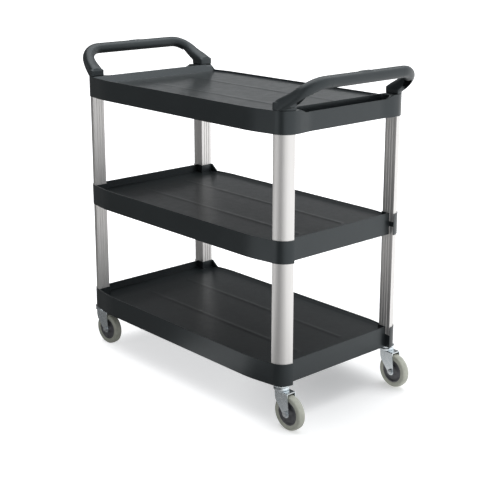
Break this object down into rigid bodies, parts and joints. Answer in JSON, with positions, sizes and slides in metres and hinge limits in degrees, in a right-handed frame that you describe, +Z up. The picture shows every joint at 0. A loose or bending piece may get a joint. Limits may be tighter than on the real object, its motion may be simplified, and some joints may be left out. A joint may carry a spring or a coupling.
{
  "type": "food service trolley",
  "caption": "Open utility trolley: moulded shelves with raised rims on hollow metal posts, a D-shaped grip at each end and swivel casters.",
  "frame": {"origin": "on the floor under the middle of the trolley", "axes": "+X along the length, from one grip to the other; +Y towards the open long side with the low rims; +Z up"},
  "size_m": [1.0322, 0.505, 0.96],
  "materials": {
    "shelf_plastic": "moulded, satin",
    "handle_plastic": "moulded, fine grain",
    "post_aluminium": "anodised satin extrusion",
    "zinc_plate": "bright zinc plate",
    "steel_fastener": "zinc-plated steel",
    "wheel_plastic": "moulded",
    "tyre_rubber": "non-marking soft tread"
  },
  "bodies": {
    "cart": {"top_shelf": "shelf_plastic", "middle_shelf": "shelf_plastic", "bottom_shelf": "shelf_plastic", "handle_right": "handle_plastic", "handle_left": "handle_plastic", "upper_post_front_right": "post_aluminium", "lower_post_front_right": "post_aluminium", "caster_stem_front_right": "zinc_plate", "upper_post_back_right": "post_aluminium", "lower_post_back_right": "post_aluminium", "caster_stem_back_right": "zinc_plate", "upper_post_front_left": "post_aluminium", "lower_post_front_left": "post_aluminium", "caster_stem_front_left": "zinc_plate", "upper_post_back_left": "post_aluminium", "lower_post_back_left": "post_aluminium", "caster_stem_back_left": "zinc_plate"},
    "caster_front_right": {"fork_front_right": "zinc_plate", "axle_bolt_front_right": "steel_fastener", "axle_nut_front_right": "steel_fastener", "axle_sleeve_front_right": "steel_fastener"},
    "wheel_front_right": {"wheel_core_front_right": "wheel_plastic", "tyre_front_right": "tyre_rubber"},
    "caster_back_right": {"fork_back_right": "zinc_plate", "axle_bolt_back_right": "steel_fastener", "axle_nut_back_right": "steel_fastener", "axle_sleeve_back_right": "steel_fastener"},
    "wheel_back_right": {"wheel_core_back_right": "wheel_plastic", "tyre_back_right": "tyre_rubber"},
    "caster_front_left": {"fork_front_left": "zinc_plate", "axle_bolt_front_left": "steel_fastener", "axle_nut_front_left": "steel_fastener", "axle_sleeve_front_left": "steel_fastener"},
    "wheel_front_left": {"wheel_core_front_left": "wheel_plastic", "tyre_front_left": "tyre_rubber"},
    "caster_back_left": {"fork_back_left": "zinc_plate", "axle_bolt_back_left": "steel_fastener", "axle_nut_back_left": "steel_fastener", "axle_sleeve_back_left": "steel_fastener"},
    "wheel_back_left": {"wheel_core_back_left": "wheel_plastic", "tyre_back_left": "tyre_rubber"}
  },
  "joints": [
    {"name": "swivel_front_right", "type": "hinge", "parent": "cart", "child": "caster_front_right", "pos_m": [0.421, -0.215, 0.11], "axis": [0, 0, 1], "continuous": true},
    {"name": "wheel_spin_front_right", "type": "hinge", "parent": "caster_front_right", "child": "wheel_front_right", "pos_m": [0.4545, -0.215, 0.0495], "axis": [0, 1, 0], "continuous": true},
    {"name": "swivel_back_right", "type": "hinge", "parent": "cart", "child": "caster_back_right", "pos_m": [0.421, 0.215, 0.11], "axis": [0, 0, 1], "continuous": true},
    {"name": "wheel_spin_back_right", "type": "hinge", "parent": "caster_back_right", "child": "wheel_back_right", "pos_m": [0.45447, 0.21354, 0.0495], "axis": [0.0436, 0.999, 0], "continuous": true},
    {"name": "swivel_front_left", "type": "hinge", "parent": "cart", "child": "caster_front_left", "pos_m": [-0.421, -0.215, 0.11], "axis": [0, 0, 1], "continuous": true},
    {"name": "wheel_spin_front_left", "type": "hinge", "parent": "caster_front_left", "child": "wheel_front_left", "pos_m": [-0.38758, -0.21266, 0.0495], "axis": [-0.0698, 0.9976, 0], "continuous": true},
    {"name": "swivel_back_left", "type": "hinge", "parent": "cart", "child": "caster_back_left", "pos_m": [-0.421, 0.215, 0.11], "axis": [0, 0, 1], "continuous": true},
    {"name": "wheel_spin_back_left", "type": "hinge", "parent": "caster_back_left", "child": "wheel_back_left", "pos_m": [-0.38751, 0.21588, 0.0495], "axis": [-0.0262, 0.9997, 0], "continuous": true}
  ]
}
